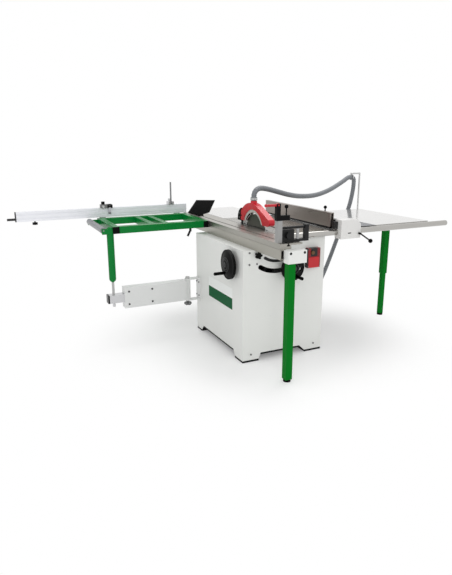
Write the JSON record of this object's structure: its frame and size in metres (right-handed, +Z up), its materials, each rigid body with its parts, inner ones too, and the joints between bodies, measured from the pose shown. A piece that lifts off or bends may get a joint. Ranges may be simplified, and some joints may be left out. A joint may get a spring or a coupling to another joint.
{
  "type": "sliding table saw",
  "caption": "Floor-standing sliding table saw with a tilting blade, sliding carriage, outrigger with crosscut fence, rip fence on a round rail, extension tables and guard hose.",
  "frame": {"origin": "floor level under the middle of the cabinet, at the centre of the four anchor holes", "axes": "+X to the rip side along the guide rail, +Y to the rear along the blade, +Z up"},
  "size_m": [3.041, 1.837, 1.189],
  "materials": {
    "white_paint": "semi-gloss",
    "green_paint": "gloss",
    "red_plastic": "gloss",
    "black_plastic": "satin",
    "cast_iron": "ground",
    "grey_sheet": "gloss",
    "chrome_rail": "polished",
    "aluminium": "anodised",
    "steel": "machined",
    "hose_plastic": "satin",
    "belt_rubber": "matt",
    "pale_plastic": "gloss"
  },
  "bodies": {
    "machine": {"cabinet_shell": "white_paint", "cabinet_base": "black_plastic", "saw_table": "cast_iron", "table_insert": "aluminium", "right_extension": "grey_sheet", "rear_extension": "grey_sheet", "front_rail": "chrome_rail", "carriage_base": "aluminium", "base_end_plate": "white_paint", "front_leg": "green_paint", "right_leg": "green_paint", "switch_box": "black_plastic", "trunnion_brackets": "cast_iron", "dust_port": "black_plastic", "hose_rod": "chrome_rail", "arm_bracket": "white_paint", "machine_bolts": "steel", "dust_hose": "hose_plastic"},
    "tilt_cradle": {"trunnion_frame": "cast_iron"},
    "lift": {"lift_carriage": "cast_iron", "motor": "steel", "riving_knife": "steel", "drive_belt": "belt_rubber"},
    "arbor": {"arbor_shaft": "steel", "saw_blade": "steel", "arbor_nut": "steel"},
    "motor_rotor": {"motor_pulley": "steel"},
    "guard": {"guard_holder": "black_plastic", "guard_hood": "red_plastic", "guard_skirt": "pale_plastic"},
    "height_drive": {"height_wheel": "black_plastic"},
    "height_handle": {"height_grip": "black_plastic"},
    "lift_drive": {"lift_screw": "steel"},
    "tilt_drive": {"tilt_wheel": "black_plastic"},
    "tilt_handle": {"tilt_grip": "black_plastic"},
    "tilt_follower": {"tilt_nut": "steel"},
    "carriage": {"carriage_table": "aluminium", "outrigger_frame": "green_paint"},
    "shoe": {"edging_shoe": "black_plastic"},
    "clamp": {"clamp_base": "black_plastic"},
    "clamp_head": {"clamp_arm": "black_plastic"},
    "clamp_cam": {"clamp_lever": "red_plastic"},
    "clamp_pusher": {"clamp_knob": "black_plastic"},
    "roller": {"loading_roller": "steel"},
    "cross_fence": {"crosscut_fence": "aluminium"},
    "cross_extension": {"fence_extension": "aluminium"},
    "extension_lock": {"extension_knob": "black_plastic"},
    "left_stop": {"left_stop_block": "black_plastic"},
    "left_flip": {"left_stop_arm": "black_plastic"},
    "right_stop": {"right_stop_block": "black_plastic"},
    "right_flip": {"right_stop_arm": "steel"},
    "arm": {"swing_arm": "white_paint"},
    "arm_inner": {"inner_arm": "steel"},
    "rip_carrier": {"rip_head": "white_paint"},
    "rip_plate": {"rip_fence": "aluminium"},
    "rip_lock": {"rip_lever": "black_plastic"},
    "fence_lock": {"fence_lever": "black_plastic"},
    "star": {"star_knob": "black_plastic"},
    "start": {"start_button": "green_paint"},
    "stop": {"stop_flap": "red_plastic"}
  },
  "joints": [
    {"name": "blade_tilt", "type": "hinge", "parent": "machine", "child": "tilt_cradle", "pos_m": [-0.06, 0, 0.87], "axis": [0, 1, 0], "range_deg": [0, 45], "deforming": ["dust_hose"]},
    {"name": "blade_lift", "type": "slide", "parent": "tilt_cradle", "child": "lift", "axis": [0, 0, 1], "range_m": [-0.095, 0], "deforming": ["dust_hose"]},
    {"name": "arbor_spin", "type": "hinge", "parent": "lift", "child": "arbor", "pos_m": [-0.06, -0.09, 0.805], "axis": [1, 0, 0], "continuous": true},
    {"name": "motor_spin", "type": "hinge", "parent": "lift", "child": "motor_rotor", "pos_m": [-0.06, 0.11, 0.675], "axis": [1, 0, 0], "continuous": true},
    {"name": "guard_float", "type": "slide", "parent": "lift", "child": "guard", "axis": [0, 0, 1], "range_m": [0, 0.095], "deforming": ["dust_hose"]},
    {"name": "height_turn", "type": "hinge", "parent": "tilt_cradle", "child": "height_drive", "pos_m": [0.03163, -0.3, 0.6374], "axis": [0, 1, 0], "range_deg": [-1710.5, 0]},
    {"name": "height_grip_spin", "type": "hinge", "parent": "height_drive", "child": "height_handle", "pos_m": [0.05448, -0.48, 0.58084], "axis": [0, 1, 0], "continuous": true},
    {"name": "screw_turn", "type": "hinge", "parent": "tilt_cradle", "child": "lift_drive", "pos_m": [0.03163, -0.035, 0.6], "axis": [0, 0, 1], "range_deg": [0, 1710.5]},
    {"name": "tilt_turn", "type": "hinge", "parent": "machine", "child": "tilt_drive", "pos_m": [-0.3, -0.25, 0.66], "axis": [1, 0, 0], "range_deg": [0, 2475.5]},
    {"name": "tilt_grip_spin", "type": "hinge", "parent": "tilt_drive", "child": "tilt_handle", "pos_m": [-0.4, -0.212, 0.59418], "axis": [1, 0, 0], "continuous": true},
    {"name": "tilt_nut_slide", "type": "slide", "parent": "machine", "child": "tilt_follower", "axis": [1, 0, 0], "range_m": [-0.138, 0]},
    {"name": "carriage_slide", "type": "slide", "parent": "machine", "child": "carriage", "axis": [0, 1, 0], "range_m": [-0.8, 0.25]},
    {"name": "shoe_slide", "type": "slide", "parent": "carriage", "child": "shoe", "axis": [0, 1, 0], "range_m": [-0.4, 0.04]},
    {"name": "clamp_slide", "type": "slide", "parent": "carriage", "child": "clamp", "axis": [0, 1, 0], "range_m": [-0.03, 0.05]},
    {"name": "clamp_swing", "type": "hinge", "parent": "clamp", "child": "clamp_head", "pos_m": [-0.225, -0.683, 1.01], "axis": [0, 0, 1], "range_deg": [-60, 90]},
    {"name": "clamp_cam_turn", "type": "hinge", "parent": "clamp_head", "child": "clamp_cam", "pos_m": [-0.234, -0.683, 1.094], "axis": [0, 1, 0], "range_deg": [0, 80]},
    {"name": "clamp_pusher_slide", "type": "slide", "parent": "clamp_head", "child": "clamp_pusher", "axis": [0, 0, 1], "range_m": [0, 0.02]},
    {"name": "roller_spin", "type": "hinge", "parent": "carriage", "child": "roller", "pos_m": [-1.037, 0.6, 0.847], "axis": [0, 1, 0], "continuous": true},
    {"name": "fence_swing", "type": "hinge", "parent": "carriage", "child": "cross_fence", "pos_m": [-0.3, 0.869, 0.87], "axis": [0, 0, 1], "range_deg": [0, 45]},
    {"name": "fence_reach", "type": "slide", "parent": "cross_fence", "child": "cross_extension", "axis": [-1, 0, 0], "range_m": [0, 0.6]},
    {"name": "lock_turn", "type": "hinge", "parent": "cross_fence", "child": "extension_lock", "pos_m": [-1.435, 0.869, 0.855], "axis": [0, 0, 1], "range_deg": [0, 180]},
    {"name": "left_stop_slide", "type": "slide", "parent": "cross_fence", "child": "left_stop", "axis": [1, 0, 0], "range_m": [-0.3, 0.3]},
    {"name": "left_stop_flip", "type": "hinge", "parent": "left_stop", "child": "left_flip", "pos_m": [-0.872, 0.838, 0.9583], "axis": [1, 0, 0], "range_deg": [-150, 0]},
    {"name": "right_stop_slide", "type": "slide", "parent": "cross_fence", "child": "right_stop", "axis": [1, 0, 0], "range_m": [-0.15, 0]},
    {"name": "right_stop_flip", "type": "hinge", "parent": "right_stop", "child": "right_flip", "pos_m": [-0.36, 0.838, 0.9583], "axis": [1, 0, 0], "range_deg": [0, 110]},
    {"name": "arm_swing", "type": "hinge", "parent": "machine", "child": "arm", "pos_m": [-0.41, 0.36, 0.342], "axis": [0, 0, 1], "range_deg": [-19, 60.2]},
    {"name": "arm_reach", "type": "slide", "parent": "arm", "child": "arm_inner", "axis": [-1, 0, 0], "range_m": [0, 0.4]},
    {"name": "rip_slide", "type": "slide", "parent": "machine", "child": "rip_carrier", "axis": [1, 0, 0], "range_m": [-0.36, 0.74]},
    {"name": "fence_shift", "type": "slide", "parent": "rip_carrier", "child": "rip_plate", "axis": [0, 1, 0], "range_m": [0, 0.25]},
    {"name": "rip_lock_turn", "type": "hinge", "parent": "rip_carrier", "child": "rip_lock", "pos_m": [0.541, -0.48, 0.84], "axis": [0, 1, 0], "range_deg": [-70, 0]},
    {"name": "fence_lock_turn", "type": "hinge", "parent": "rip_carrier", "child": "fence_lock", "pos_m": [0.42, -0.231, 0.915], "axis": [1, 0, 0], "range_deg": [-75, 0]},
    {"name": "star_turn", "type": "hinge", "parent": "machine", "child": "star", "pos_m": [-0.214, -0.42, 0.741], "axis": [0, 1, 0], "range_deg": [0, 360]},
    {"name": "start_press", "type": "slide", "parent": "machine", "child": "start", "axis": [0, 1, 0], "range_m": [0, 0.005], "stiffness_N_per_m": 400},
    {"name": "stop_press", "type": "hinge", "parent": "machine", "child": "stop", "pos_m": [0.207, -0.429, 0.68964], "axis": [1, 0, 0], "range_deg": [0, 8], "stiffness_Nm_per_rad": 1}
  ],
  "couplings": [
    {"joint": "motor_spin", "follows": "arbor_spin", "ratio": 0.8},
    {"joint": "guard_float", "follows": "blade_lift", "ratio": -1},
    {"joint": "height_turn", "follows": "blade_lift", "rad_per_m": 314.16},
    {"joint": "screw_turn", "follows": "blade_lift", "rad_per_m": -314.16},
    {"joint": "tilt_turn", "follows": "blade_tilt", "ratio": 55},
    {"joint": "tilt_nut_slide", "follows": "blade_tilt", "m_per_rad": -0.1754},
    {"joint": "arm_swing", "follows": "carriage_slide", "rad_per_m": -1.31}
  ]
}
